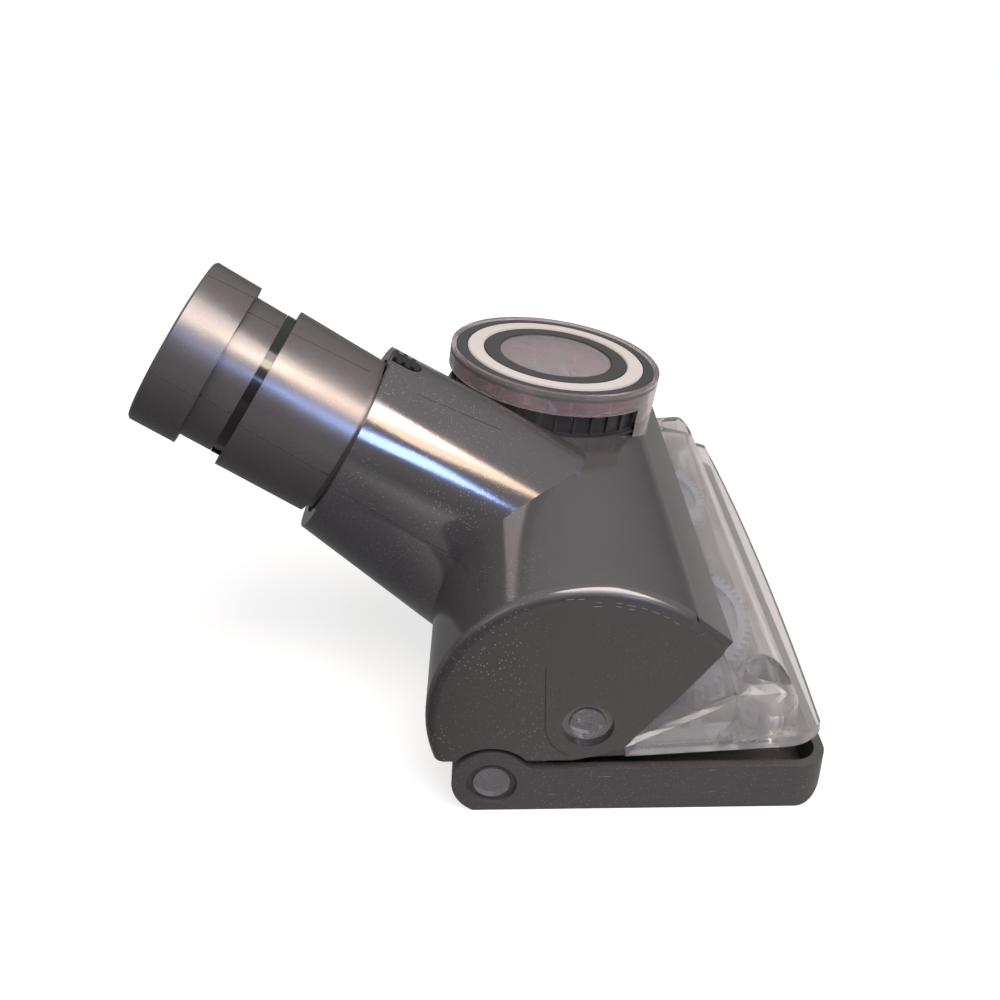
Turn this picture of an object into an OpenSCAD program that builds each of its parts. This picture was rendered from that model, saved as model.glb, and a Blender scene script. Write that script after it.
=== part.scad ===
// Turbine driven brush head: hinged sole tray, clear gear case with two
// counter-turning brush discs, swinging drum with hose neck and turbine.
// X forward, Y across, Z up; origin on the floor under the rear hinge pin.

/* [Sole tray] */
// overall width over the tray side walls
overall_w = 150; // [148:1:154]
// height of the tray side walls
tray_h = 12.1; // [11.5:0.1:12.6]
// front face of the tray ahead of the rear pin
tray_front = 76; // [75:0.5:77]
// thickness of the tray floor
tray_floor = 2; // [1.6:0.1:2.4]
// thickness of the tray side walls
tray_wall = 2.2; // [1.8:0.1:2.4]
// radius of the rolled front lower edge
tray_nose_r = 7; // [5:0.5:8]
// radius of each brush opening in the sole
opening_r = 29; // [27.5:0.5:29.5]

/* [Rear hinge] */
// height of the rear hinge pin above the floor
pin_z = 7.9; // [7.6:0.1:8.2]
// outer radius of the tray knuckle
knuckle_r = 9.1; // [8.8:0.1:9.4]
// radius of the clear hinge pins
rear_pin_r = 4.2; // [3.6:0.1:4.4]
// radius of the recess around each hinge pin end
rear_recess_r = 5.7; // [5.3:0.1:6]
// how far the gear case stands nose-up on the tray at rest
nose_up = 3.5; // [2.5:0.5:4]

/* [Drum] */
// outer radius of the drum
drum_r = 35.5; // [35:0.25:36]
// thickness of the drum barrel
drum_wall = 2.2; // [1.8:0.1:2.4]
// thickness of the drum end panels
panel_t = 2.7; // [2.4:0.1:3]
// rounding between barrel and end panels
rim_r = 2.6; // [1.5:0.1:2.6]
// radius of the drum pivot pins
pivot_r = 4; // [3.4:0.1:4.2]
// radius of the recess around each pivot pin end
pivot_recess_r = 5.75; // [5.3:0.05:6]
// height of the lower edge of the drum above the floor
drum_low_z = 14.8; // [14.4:0.1:15.2]

/* [Neck] */
// slope of the neck above the horizontal at rest
neck_slope = 31; // [29:0.5:33]
// how far the neck stands to the near side of the middle
neck_off = 15; // [14:0.5:16]
// height of the neck axis over the drum pivot
neck_up = 9.2; // [8.6:0.1:9.8]
// outer radius of the neck tube
neck_r = 24.7; // [24.5:0.1:24.9]
// drop of the second, lower tube that widens the neck underneath
under_slope = 13.3; // [12:0.1:14]
// distance of the seam along the neck
seam_s = 64.4; // [63.6:0.2:65]
// how much steeper the cuff stands than the neck
cuff_bend = 2.9; // [2:0.1:3.4]
// outer radius of the cuff
cuff_r = 21.1; // [20.9:0.1:21.3]
// distance of the mouth from the seam
cuff_len = 46.4; // [44:0.2:48]
// outer radius of the mouth collar
collar_r = 21.2; // [21:0.1:21.6]
// bore radius of the hose socket
socket_r = 17.1; // [16.6:0.1:17.3]
// depth of the hose socket
socket_len = 20; // [18:1:20]

/* [Turbine] */
// forward tilt of the turbine axis
turbine_tilt = 8.8; // [7:0.2:10]
// how far the turbine stands to the far side of the middle
turb_off = 26; // [25.5:0.5:27]
// outer radius of the clear bowl
bowl_r = 29.6; // [29.3:0.1:29.8]
// height of the clear bowl wall
bowl_h = 5.6; // [5.2:0.1:5.8]
// height of the bowl's deeper skirt at the front
skirt_h = 10.4; // [9.8:0.1:10.8]
// outer radius of the white ring
trim_r = 25; // [24.6:0.1:25.4]
// outer radius of the inner dark ring
inner_r = 20.5; // [20.1:0.1:20.9]
// radius of the clear top window
window_r = 15.7; // [15.2:0.1:16.2]
// number of turbine blades
blades = 14; // [10:1:16]

/* [Brush drive] */
// tooth module of the gears
gear_m = 0.8; // [0.8:0.4:0.8]
// teeth of each brush gear
gear_teeth = 76; // [72:4:76]
// teeth of the drive pinion
pinion_teeth = 16; // [14:1:17]
// distance of the brush axles ahead of the rear pin
gear_x = 36.1; // [35.8:0.1:36.3]
// thickness of the brush gears
gear_t = 3.2; // [2.6:0.1:3.4]
// radius of the brush discs
disc_r = 25; // [23:0.5:26]
// length of the bristle tufts
tuft_len = 6.5; // [5:0.5:6.5]

/* [Gear case] */
// wall of the clear cover
clear_wall = 1.8; // [1.5:0.1:2]
// thickness of the cover flange
flange_t = 2.8; // [2.4:0.1:3]
// radius of the crest along the cover front
crest_r = 9.1; // [8.8:0.1:9.3]
// rounding of the cover corners seen from above
corner_r = 9; // [7:0.5:11]

/* [Clearances] */
// radial play of the hinge and pivot pins
pin_play = 0.08; // [0.05:0.01:0.1]
// radial play of the small bearings
bush_play = 0.05; // [0.04:0.01:0.08]
// gap between parts that swing past each other
swing_gap = 0.4; // [0.3:0.1:0.5]
// gap between trim rings
ring_gap = 0.1; // [0.06:0.02:0.14]

/* [Hidden] */
$fn = 96;
half_w = overall_w / 2;
panel_in = half_w - panel_t;
cheek_out = panel_in - swing_gap;
cheek_t = 2.8;
cheek_in = cheek_out - cheek_t;
barrel_half = cheek_in - 0.3;
piv_x = 21.2;
piv_z = 24.5;
tip = [50.8, 46.2];
cs = cos(nose_up);
sn = sin(nose_up);
pcx = piv_x * cs + (piv_z - pin_z) * sn;
pcz = pin_z - piv_x * sn + (piv_z - pin_z) * cs;
plate_top = 13.9;
plate_t = 2.5;
plate_low = plate_top - plate_t;
gear_y = gear_m * gear_teeth / 2;
gear_tip = gear_y + gear_m;
pin_pitch = gear_m * pinion_teeth / 2;
mesh_d = gear_y + pin_pitch;
pinion_y = 1.8;
pinion_x = gear_x - sqrt(mesh_d * mesh_d - (gear_y - pinion_y) * (gear_y - pinion_y));
gear_low = plate_top + 1.5;
gear_top = gear_low + gear_t;
lid_top = gear_top + 2.6;
lid_wall = 1.6;
lid_r = gear_tip + 2.4;
disc_top = plate_low - 1.2;
disc_low = disc_top - 4.2;
tip_low = disc_low - tuft_len;
axle_r = 2;
hub_r = 4.8;
crest_x = 60.6;
crest_z = 19.5;
crest_top = crest_z + crest_r;
hill_front = crest_x + crest_r;
hill_rear = 30.5;
hill_rear_z = 15.7;
hill_half = half_w - 1;
flange_front = tray_front - 0.2;
screw_x = 63.4;
screw_y = half_w - 9.8;
seat_z = 19.5;
ring_x = 57.6;
top_x = 19;
top_z = 72;
neck_x = piv_x - 1.1;
neck_z = piv_z + neck_up;
spigot_r = cuff_r - 0.2;
neck_bore = spigot_r + 0.3;
duct_r = socket_r - 1.2;
waist_r = cuff_r - 2.3;
groove_s = 24;
groove_w = 2.4;
collar_s = cuff_len - 11.8;
clip_out = waist_r + 0.1;
clip_in = waist_r - 0.65;
clip_gap = 6.8;
lead_in = 1;
seal_w = 3;
well_r = bowl_r + 1.4;
bowl_wall = 1.4;
frame_r = bowl_r - 1.1;
frame_t = 0.9;
rib_t = 0.8;
frame_low = -12.6;
seat_h = 34;
dish_wall = 2.6;
wheel_r = frame_r - 2.3;
front_cut = 22.4;
shaft_r = 2;
shaft_end = -34;
bearing_r = 5;
catch_s = seam_s - 4.4;
catch_w = 5.8;
catch_l = 8.6;
catch_x = neck_r - 5.3;
catch_low = catch_x - 1.8;
roof_t = 1;
ring_t = 1.2;

// frames and helpers

// gear case frame: flat when closed, lifted nose-up at rest
module in_case() {
  translate([0, 0, pin_z])
    rotate([0, -nose_up, 0])
      translate([0, 0, -pin_z])
        children();
}

// neck frame: z along the neck, x to the top line
module in_neck() {
  translate([neck_x, -neck_off, neck_z])
    rotate([0, neck_slope - 90, 0])
      children();
}

// cuff frame: z along the cuff from the seam, x to the top line
module in_cuff() {
  in_neck()
    translate([-0.6, 0, seam_s + 0.4])
      rotate([0, cuff_bend, 0])
        children();
}

// turbine frame: z up the turbine axis, zero on the ring face
module in_turbine() {
  translate([top_x, turb_off, top_z])
    rotate([0, turbine_tilt, 0])
      children();
}

// a side outline (x, z) drawn across the width w
module across(w) {
  rotate([90, 0, 0])
    linear_extrude(height = w, center = true)
      children();
}

// cylinder lying along Y from y0 to y1
module ycyl(x, z, r, y0, y1) {
  translate([x, y1, z])
    rotate([90, 0, 0])
      cylinder(r = r, h = y1 - y0);
}

// both ends alike
module both() {
  children();
  mirror([0, 1, 0])
    children();
}

module tube(ro, ri, z0, z1) {
  translate([0, 0, z0])
    difference() {
      cylinder(r = ro, h = z1 - z0);
      translate([0, 0, -1])
        cylinder(r = ri, h = z1 - z0 + 2);
    }
}

// plan outline with rounded front corners
module plan_box(x0, x1, hw, r) {
  translate([x0, -hw])
    square([x1 - x0 - r, 2 * hw]);
  translate([x0, r - hw])
    square([x1 - x0, 2 * (hw - r)]);
  translate([x1 - r, hw - r])
    circle(r = r);
  translate([x1 - r, r - hw])
    circle(r = r);
}

// sole

module tray_outline(h) {
  fr = 2.4;
  fx = sqrt(pow(knuckle_r + fr, 2) - pow(h + fr - pin_z, 2));
  tx = fx * knuckle_r / (knuckle_r + fr);
  tz = pin_z + (h + fr - pin_z) * knuckle_r / (knuckle_r + fr);
  a0 = 180 + atan2(h + fr - tz, fx - tx);
  difference() {
    union() {
      translate([0, pin_z])
        circle(r = knuckle_r);
      // side wall, running up to the knuckle in a fillet
      polygon([[0, -1], [tray_front - tray_nose_r, -1], [tray_front - tray_nose_r, h],
        for (i = [8 : -1 : 1])
          let (a = a0 + (270 - a0) * i / 8)
            [fx + fr * cos(a), h + fr + fr * sin(a)],
        [tx * 0.97, pin_z + (tz - pin_z) * 0.97], [0, pin_z]]);
      translate([0, tray_nose_r])
        square([tray_front, h - tray_nose_r]);
      translate([tray_front - tray_nose_r, tray_nose_r])
        circle(r = tray_nose_r);
    }
    translate([-50, -20])
      square([200, 20]);
    translate([20, h])
      square([80, 20]);
  }
}

module sole_tray() {
  color([0.27, 0.25, 0.25])
    difference() {
      intersection() {
        across(overall_w)
          tray_outline(tray_h);
        linear_extrude(height = 60)
          plan_box(-knuckle_r - 1, tray_front, half_w, 7);
      }
      // inside of the tray, left open along the top
      intersection() {
        across(overall_w - 2 * tray_wall)
          union() {
            translate([0, pin_z])
              circle(r = knuckle_r - tray_wall);
            translate([-1.4, tray_floor])
              square([tray_front - tray_wall + 1.4, 60]);
          }
        linear_extrude(height = 60)
          plan_box(-60, tray_front - tray_wall, half_w - tray_wall, 5);
      }
      // brush openings with a bevelled lower edge
      for (s = [-1, 1])
        translate([gear_x, s * gear_y, -1]) {
          cylinder(r = opening_r, h = 10);
          translate([0, 0, 1])
            cylinder(r1 = opening_r + 0.9, r2 = opening_r, h = 0.9);
        }
      // hinge bores and their outer recesses
      both() {
        ycyl(0, pin_z, rear_pin_r + pin_play, half_w - 5, half_w + 1);
        ycyl(0, pin_z, rear_recess_r, half_w - 1.1, half_w + 1);
      }
    }
}

// gear case

module sector(r, a0, a1) {
  intersection() {
    circle(r = r);
    polygon([[0, 0], [90 * cos(a0), 90 * sin(a0)], [90 * cos(a1), 90 * sin(a1)]]);
  }
}

module cheek_outline() {
  ang = atan2(pcz - pin_z, pcx);
  len = sqrt(pcx * pcx + (pcz - pin_z) * (pcz - pin_z));
  translate([0, pin_z])
    circle(r = knuckle_r - tray_wall - 0.7);
  translate([pcx, pcz])
    circle(r = 8.2);
  translate([0, pin_z])
    rotate(ang)
      translate([0, -4.6])
        square([len, 9.2]);
  translate([pcx, pcz])
    sector(drum_r - drum_wall - 0.7, -14, 44);
  polygon([[14, plate_low], [50, plate_low], [52.5, 18], [20, 22]]);
}

module base_plan() {
  for (s = [-1, 1])
    translate([gear_x, s * gear_y])
      circle(r = lid_r);
  translate([gear_x, -gear_y - 31])
    square([68 - gear_x, 2 * gear_y + 62]);
  translate([pinion_x, pinion_y])
    circle(r = pin_pitch + 3.2);
  translate([pinion_x, -8])
    square([20, 16]);
  translate([24, -cheek_out])
    square([25, 2 * cheek_out]);
}

module gear_case_base() {
  color([0.8, 0.78, 0.78, 0.4])
    in_case() {
      difference() {
        union() {
          translate([0, 0, plate_low])
            linear_extrude(height = plate_t)
              base_plan();
          // cheeks that carry the four hinge pins
          both()
            translate([0, cheek_in + cheek_t / 2, 0])
              across(cheek_t)
                cheek_outline();
          both() {
            ycyl(0, pin_z, rear_pin_r, cheek_in, half_w - 0.5);
            ycyl(pcx, pcz, pivot_r, cheek_in, half_w - 0.5);
          }
          // screw bosses and hub bearings
          for (s = [-1, 1]) {
            translate([screw_x, s * screw_y, 9])
              cylinder(r = 4.2, h = plate_top - 9);
            translate([gear_x, s * gear_y, plate_low - 0.6])
              cylinder(r = hub_r + 2, h = plate_t + 1.4);
          }
          translate([pinion_x, pinion_y, plate_low - 1.6])
            cylinder(r = 5, h = 3);
        }
        for (s = [-1, 1]) {
          translate([screw_x, s * screw_y, 0])
            cylinder(r = 1.65, h = 40);
          translate([gear_x, s * gear_y, 0])
            cylinder(r = hub_r + pin_play, h = 40);
        }
        translate([pinion_x, pinion_y, plate_low - 0.4])
          cylinder(r = 1.5 + bush_play, h = 20);
      }
      // short ribs standing on the outer face of the cheeks
      both()
        translate([41.5, cheek_out - 0.3, 29])
          cube([0.9, 0.5, 11]);
    }
}

module hill_side(d) {
  slope = atan2(crest_top - 0.9 - hill_rear_z, 26.1);
  translate([crest_x, crest_z])
    circle(r = crest_r - d);
  polygon([[hill_rear + d, 10], [hill_rear + d, hill_rear_z - d * 0.6],
    [crest_x - (crest_r - d) * sin(slope), crest_z + (crest_r - d) * cos(slope)],
    [crest_x, crest_z], [hill_front - d, crest_z], [hill_front - d + 0.35, 10]]);
}

module hill(d) {
  intersection() {
    across(2 * (hill_half - d))
      hill_side(d);
    translate([0, 0, 10])
      linear_extrude(height = 40)
        plan_box(hill_rear - 5, hill_front - d + 0.5, hill_half - d, corner_r - d);
    // rounded upper side edges
    translate([hill_rear - 10, 0, 0])
      rotate([90, 0, 90])
        linear_extrude(height = 90)
          union() {
            er = 5 - d;
            translate([-hill_half + d, 5])
              square([2 * (hill_half - d), crest_top - 10]);
            translate([-hill_half + 5, 5])
              square([2 * hill_half - 10, crest_top - d - 5]);
            for (s = [-1, 1])
              translate([s * (hill_half - 5), crest_top - 5])
                circle(r = er);
          }
  }
}

// front of the case seen from above: crowned between rounded corners
module flange_plan() {
  crown = 1500;
  intersection() {
    plan_box(hill_rear - 0.5, flange_front, half_w, 10);
    translate([flange_front - crown, 0])
      circle(r = crown, $fn = 720);
  }
}

module lid_plan(d) {
  for (s = [-1, 1])
    translate([gear_x, s * gear_y])
      circle(r = lid_r - d);
  translate([pinion_x, pinion_y])
    circle(r = pin_pitch + 3.2 - d);
  translate([pinion_x, -8 + d])
    square([25, 16 - 2 * d]);
}

module barrel(d) {
  x0 = 44.5 + d;
  top = pcz + (drum_r - drum_wall - 0.5) * sin(45);
  intersection() {
    across(2 * (barrel_half - d))
      difference() {
        translate([pcx, pcz])
          circle(r = drum_r - drum_wall - 0.5 - d);
        translate([-60, -60])
          square([60 + x0, 200]);
        translate([-60, top - d])
          square([200, 60]);
      }
    translate([0, 0, plate_top])
      linear_extrude(height = 60)
        square([160, 200], center = true);
  }
}

module cover_screw_tube() {
  for (s = [-1, 1])
    translate([screw_x, s * screw_y, 0])
      children();
}

module gear_case_cover() {
  color([0.85, 0.82, 0.82, 0.35])
    in_case()
      difference() {
        union() {
          difference() {
            union() {
              hill(0);
              barrel(0);
              translate([0, 0, plate_top])
                linear_extrude(height = lid_top - plate_top)
                  lid_plan(0);
              translate([0, 0, plate_top])
                linear_extrude(height = flange_t)
                  flange_plan();
            }
            translate([0, 0, -1])
              linear_extrude(height = plate_top + 1)
                square([4 * half_w, 4 * half_w], center = true);
            hill(clear_wall);
            barrel(clear_wall);
            translate([0, 0, plate_top - 1])
              linear_extrude(height = lid_top - plate_top + 1 - lid_wall)
                lid_plan(1.5);
            // relief where the lower corner of the drum end swings past
            both()
              ycyl(pcx, pcz, 12.3, cheek_out, half_w + 1);
            // room for the cheeks between hill and drum ends
            both()
              translate([0, (barrel_half + hill_half - clear_wall) / 2, 0])
                across(hill_half - clear_wall - barrel_half)
                  union() {
                    translate([pcx, pcz])
                      circle(r = drum_r - drum_wall - 0.3);
                    translate([0, 5])
                      square([54.5, 12]);
                  }
          }
          // screw tubes hanging from the roof
          intersection() {
            cover_screw_tube()
              translate([0, 0, plate_top])
                cylinder(r = 6.2, h = 40);
            hill(0.4);
          }
          // locating rings and pegs under the flange
          for (s = [-1, 1]) {
            translate([ring_x, s * (half_w - 5.8), plate_top - 3])
              cylinder(r = 2.7, h = 4.6);
            translate([ring_x - 2, s * (half_w - 4) - 2, plate_top])
              cube([4, 4, 1.6]);
            translate([68.2, s * (half_w - 6.6), plate_top - 3.2])
              cylinder(r = 1.6, h = 5);
            translate([gear_x, s * gear_y, lid_top - 0.4])
              cylinder(r = 4.2, h = 1.9);
          }
          translate([pinion_x, pinion_y, lid_top - 0.2])
            cylinder(r = 5.4, h = 1.6);
        }
        cover_screw_tube() {
          translate([0, 0, seat_z])
            cylinder(r = 5, h = 30);
          cylinder(r = 1.9, h = 40);
        }
        for (s = [-1, 1]) {
          translate([ring_x, s * (half_w - 5.8), plate_top - 4])
            cylinder(r = 1.6, h = 3.6);
          translate([gear_x, s * gear_y, gear_low])
            cylinder(r = axle_r + bush_play, h = lid_top + 0.6 - gear_low);
        }
        translate([pinion_x, pinion_y, gear_top])
          cylinder(r = 4, h = 20);
      }
}

module cover_screw(s) {
  color([0.6, 0.6, 0.6])
    in_case()
      translate([screw_x, s * screw_y, 0])
        difference() {
          union() {
            translate([0, 0, 10])
              cylinder(r = 1.6, h = seat_z - 10);
            translate([0, 0, seat_z])
              cylinder(r = 3.4, h = 1.9);
          }
          for (a = [0, 90])
            rotate(a)
              translate([-2, -0.4, seat_z + 1])
                cube([4, 0.8, 2]);
        }
}

module cover_screw_left() {
  cover_screw(1);
}

module cover_screw_right() {
  cover_screw(-1);
}

module pinion_bush() {
  color([0.72, 0.58, 0.3])
    in_case()
      translate([pinion_x, pinion_y, 0]) {
        tube(3.98, 2 + bush_play, gear_top + 0.9, lid_top + 1.4);
        tube(4.8, 2 + bush_play, lid_top + 1.4, lid_top + 2);
      }
}

// gears and brushes

// spur gear outline, tooth centred on angle turn
module gear_outline(teeth, turn) {
  rp = gear_m * teeth / 2;
  step = 360 / teeth;
  polygon([for (i = [0 : teeth - 1])
    for (q = [[-0.36, -1.2], [-0.2, 0], [-0.1, 0.92], [0.1, 0.92], [0.2, 0], [0.36, -1.2]])
      let (a = turn + (i + q[0]) * step, r = rp + q[1] * gear_m)
        [r * cos(a), r * sin(a)]]);
}

module brush_gear(s, turn) {
  color([0.4, 0.44, 0.5])
    in_case()
      translate([gear_x, s * gear_y, 0])
        difference() {
          union() {
            translate([0, 0, gear_low])
              linear_extrude(height = gear_t)
                gear_outline(gear_teeth, turn);
            translate([0, 0, disc_top])
              cylinder(r = hub_r, h = gear_low - disc_top + 0.1);
          }
          // dished web between rim and hub, with lightening holes
          translate([0, 0, gear_low + 1.4])
            difference() {
              cylinder(r = gear_y - 2.6, h = 10);
              cylinder(r = hub_r + 1.6, h = 10);
            }
          for (a = [30 : 60 : 330])
            rotate(a)
              translate([16.5, 0, 0])
                cylinder(r = 4.6, h = 30);
          cylinder(r = axle_r, h = 40);
        }
}

module gear_left() {
  brush_gear(1, 0);
}

module gear_right() {
  brush_gear(-1, 180 / gear_teeth);
}

module brush_axle(s) {
  color([0.75, 0.75, 0.76])
    in_case()
      translate([gear_x, s * gear_y, disc_low + 2.6])
        cylinder(r = axle_r, h = lid_top + 0.3 - disc_low - 2.6);
}

module axle_left() {
  brush_axle(1);
}

module axle_right() {
  brush_axle(-1);
}

module brush_disc(s) {
  color([0.2, 0.2, 0.22])
    in_case()
      translate([gear_x, s * gear_y, 0])
        difference() {
          union() {
            translate([0, 0, disc_low])
              cylinder(r = disc_r, h = 2.4);
            translate([0, 0, disc_low])
              cylinder(r = 9, h = disc_top - disc_low);
            for (a = [0 : 45 : 315])
              rotate(a)
                translate([7, -0.8, disc_low + 2])
                  cube([disc_r - 9, 1.6, 1.6]);
          }
          cylinder(r = axle_r, h = 40);
          translate([0, 0, disc_low - 1])
            cylinder(r = 4.4, h = 2.2);
        }
}

module brush_disc_left() {
  brush_disc(1);
}

module brush_disc_right() {
  brush_disc(-1);
}

module tufts(s) {
  color([0.12, 0.12, 0.13])
    in_case()
      translate([gear_x, s * gear_y, tip_low]) {
        for (i = [0 : 11])
          rotate(i * 30 + 15)
            translate([14.5, 0, 0])
              cylinder(r = 1.3, h = tuft_len, $fn = 8);
        for (i = [0 : 17])
          rotate(i * 20)
            translate([disc_r - 2.6, 0, 0])
              cylinder(r = 1.3, h = tuft_len, $fn = 8);
      }
}

module bristles_left() {
  tufts(1);
}

module bristles_right() {
  tufts(-1);
}

module disc_screw(s) {
  color([0.6, 0.6, 0.6])
    in_case()
      translate([gear_x, s * gear_y, 0]) {
        difference() {
          translate([0, 0, disc_low - 0.2])
            cylinder(r = 3.6, h = 1.4);
          for (a = [0, 90])
            rotate(a)
              translate([-2, -0.4, disc_low - 1])
                cube([4, 0.8, 1.6]);
        }
        translate([0, 0, disc_low + 1.2])
          cylinder(r = axle_r, h = 1.4);
      }
}

module disc_screw_left() {
  disc_screw(1);
}

module disc_screw_right() {
  disc_screw(-1);
}

// direction from the left gear to the pinion, and the tooth offset there
mesh_a = atan2(pinion_y - gear_y, pinion_x - gear_x);
mesh_k = mesh_a * gear_teeth / 360;
mesh_off = round(mesh_k) - mesh_k;
pinion_turn = mesh_a + 180 + (0.5 - mesh_off) * 360 / pinion_teeth;

module drive_pinion() {
  color([0.88, 0.86, 0.8])
    in_case()
      translate([pinion_x, pinion_y, 0]) {
        translate([0, 0, gear_low - 0.3])
          linear_extrude(height = gear_t + 0.6)
            gear_outline(pinion_teeth, pinion_turn);
        translate([0, 0, plate_low - 0.2])
          cylinder(r = 1.5, h = 5);
        translate([0, 0, gear_top])
          cylinder(r = 2, h = lid_top + 5 - gear_top);
      }
}

module flex_coupling() {
  low = lid_top + 2.6;
  color([0.15, 0.15, 0.16])
    in_case()
      translate([pinion_x, pinion_y, 0]) {
        tube(4.4, 2, low, low + 2.4);
        for (i = [0 : 4])
          translate([0, 0, low + 2.4 + i * 2.1]) {
            cylinder(r = 3.2, h = 2.2);
            translate([0, 0, 0.6])
              cylinder(r = 4.2, h = 0.9);
          }
        translate([0, 0, low + 12.8])
          cylinder(r = 3.4, h = 1.4);
      }
}

// drum with neck

// everything of the drum lies above this line
module drum_region() {
  polygon([[-60, drum_low_z], [18.1, drum_low_z], [25.2, 16.5], [29.1, 18.2], [40.6, 32.3],
    tip, [70, 70], [70, 140], [-60, 140]]);
}

module drum_solid() {
  translate([piv_x, 0, piv_z])
    rotate([90, 0, 0])
      rotate_extrude()
        union() {
          translate([0, -half_w])
            square([drum_r - rim_r, overall_w]);
          translate([0, rim_r - half_w])
            square([drum_r, overall_w - 2 * rim_r]);
          for (s = [-1, 1])
            translate([drum_r - rim_r, s * (half_w - rim_r)])
              circle(r = rim_r);
        }
  // straight lip running down to the front edge
  translate([0, 0, 0])
    across(overall_w - 1.2)
      difference() {
        polygon([[piv_x + drum_r * cos(52), piv_z + drum_r * sin(52)], tip, [46, 38]]);
        translate([piv_x, piv_z])
          circle(r = drum_r - 1);
      }
}

// neck tube with the lower tube that widens it towards the drum
module neck_outside() {
  in_neck() {
    cylinder(r = neck_r, h = seam_s);
    intersection() {
      under_tube(neck_r - 0.3);
      cylinder(r = 60, h = seam_s);
    }
  }
}

module under_tube(r) {
  translate([-0.3, 0, seam_s])
    rotate([0, under_slope, 0])
      translate([0, 0, -seam_s - 2])
        cylinder(r = r, h = seam_s + 12);
}

// dish under the turbine and the wall under the front of its bowl
module turbine_seat() {
  in_turbine() {
    translate([0, 0, -seat_h])
      cylinder(r1 = bowl_r / 2, r2 = bowl_r, h = seat_h + frame_low + 1);
    intersection() {
      translate([0, 0, -30])
        cylinder(r = bowl_r, h = 30 - skirt_h);
      translate([front_cut, -40, -40])
        cube([40, 80, 60]);
    }
  }
}

module drum_shell() {
  color([0.43, 0.42, 0.42])
    difference() {
      union() {
        difference() {
          union() {
            intersection() {
              drum_solid();
              across(overall_w + 2)
                drum_region();
            }
            turbine_seat();
          }
          // well round the turbine frame, then the ledge it stands on
          in_turbine() {
            translate([0, 0, frame_low])
              cylinder(r = frame_r, h = 30);
            difference() {
              translate([0, 0, -12])
                cylinder(r = well_r, h = 30);
              intersection() {
                translate([0, 0, -20])
                  cylinder(r = bowl_r, h = 20 - skirt_h);
                translate([front_cut, -40, -40])
                  cube([40, 80, 60]);
              }
            }
            translate([0, 0, 1 - seat_h])
              cylinder(r1 = bowl_r / 2 - dish_wall, r2 = frame_r - 3.3, h = seat_h + frame_low);
          }
        }
        intersection() {
          neck_outside();
          across(overall_w + 2)
            drum_region();
        }
      }
      // barrel inside
      ycyl(piv_x, piv_z, drum_r - drum_wall, -panel_in, panel_in);
      across(2 * panel_in)
        polygon([[20, 26], [20, -20], [60, 20], [50.8, 42], [47.5, 44]]);
      // neck bore and the wider hollow under it
      in_neck()
        cylinder(r = neck_bore, h = seam_s + 1);
      intersection() {
        in_neck()
          intersection() {
            under_tube(neck_r - 2.5);
            cylinder(r = 60, h = seam_s - 15);
          }
        translate([-100, -60, drum_low_z + 2])
          cube([200, 90, 100]);
      }
      // knuckle cut-outs
      ycyl(0, pin_z, knuckle_r + 1.4, -half_w - 1, half_w + 1);
      // pivot bores and recesses
      both() {
        ycyl(piv_x, piv_z, pivot_r + pin_play, panel_in - 2, half_w + 1);
        ycyl(piv_x, piv_z, pivot_recess_r, half_w - 1.1, half_w + 1);
      }
      // well of the catch
      in_neck()
        translate([catch_low, 0, catch_s]) {
          rotate([0, 90, 0])
            cylinder(r = catch_w / 2 + 0.5, h = 20);
          translate([0, -catch_w / 2 - 0.5, 0])
            cube([20, catch_w + 1, 20]);
        }
    }
}

module neck_cuff() {
  color([0.42, 0.41, 0.41])
    difference() {
      union() {
        in_neck() {
          translate([0, 0, seam_s - 15])
            cylinder(r = spigot_r, h = 14.4);
          translate([0, 0, seam_s - 1])
            cylinder(r = spigot_r - 0.9, h = 2.4);
        }
        in_cuff() {
          translate([0, 0, 0.8])
            cylinder(r = cuff_r, h = groove_s - 0.8);
          translate([0, 0, groove_s - 1])
            cylinder(r = clip_in - 0.05, h = groove_w + 2);
          translate([0, 0, groove_s + groove_w])
            cylinder(r = waist_r, h = collar_s - groove_s - groove_w + 1);
          translate([0, 0, collar_s])
            cylinder(r = collar_r, h = cuff_len - collar_s - 0.5);
          translate([0, 0, cuff_len - 0.5])
            cylinder(r1 = collar_r, r2 = collar_r - 0.5, h = 0.5);
        }
      }
      // socket with a lead-in, then the air duct
      in_cuff() {
        translate([0, 0, cuff_len - socket_len])
          cylinder(r = socket_r, h = 60);
        translate([0, 0, cuff_len - lead_in])
          cylinder(r1 = socket_r, r2 = socket_r + 1, h = lead_in + 0.1);
        translate([0, 0, -3])
          cylinder(r = duct_r, h = 90);
        // seat of the seal at the foot of the socket
        translate([0, 0, cuff_len - socket_len])
          cylinder(r = socket_r + 0.6, h = seal_w);
      }
      in_neck() {
        translate([0, 0, seam_s - 30])
          cylinder(r = duct_r, h = 34);
        // room for the catch
        translate([catch_low, 0, catch_s]) {
          rotate([0, 90, 0])
            cylinder(r = catch_w / 2 + 0.5, h = 20);
          translate([0, -catch_w / 2 - 0.5, 0])
            cube([20, catch_w + 1, catch_l - 4]);
        }
      }
    }
}

module retaining_clip() {
  color([0.1, 0.1, 0.1])
    in_cuff()
      difference() {
        tube(clip_out, clip_in, groove_s + 0.1, groove_s + groove_w - 0.1);
        rotate(-132)
          translate([clip_in / 2, -clip_gap / 2, groove_s - 1])
            cube([clip_out, clip_gap, groove_w + 2]);
      }
}

module cuff_seal() {
  color([0.08, 0.08, 0.08])
    in_cuff()
      tube(socket_r + 0.5, socket_r - 0.2, cuff_len - socket_len + 0.1,
        cuff_len - socket_len + seal_w - 0.1);
}

// turbine

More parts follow.
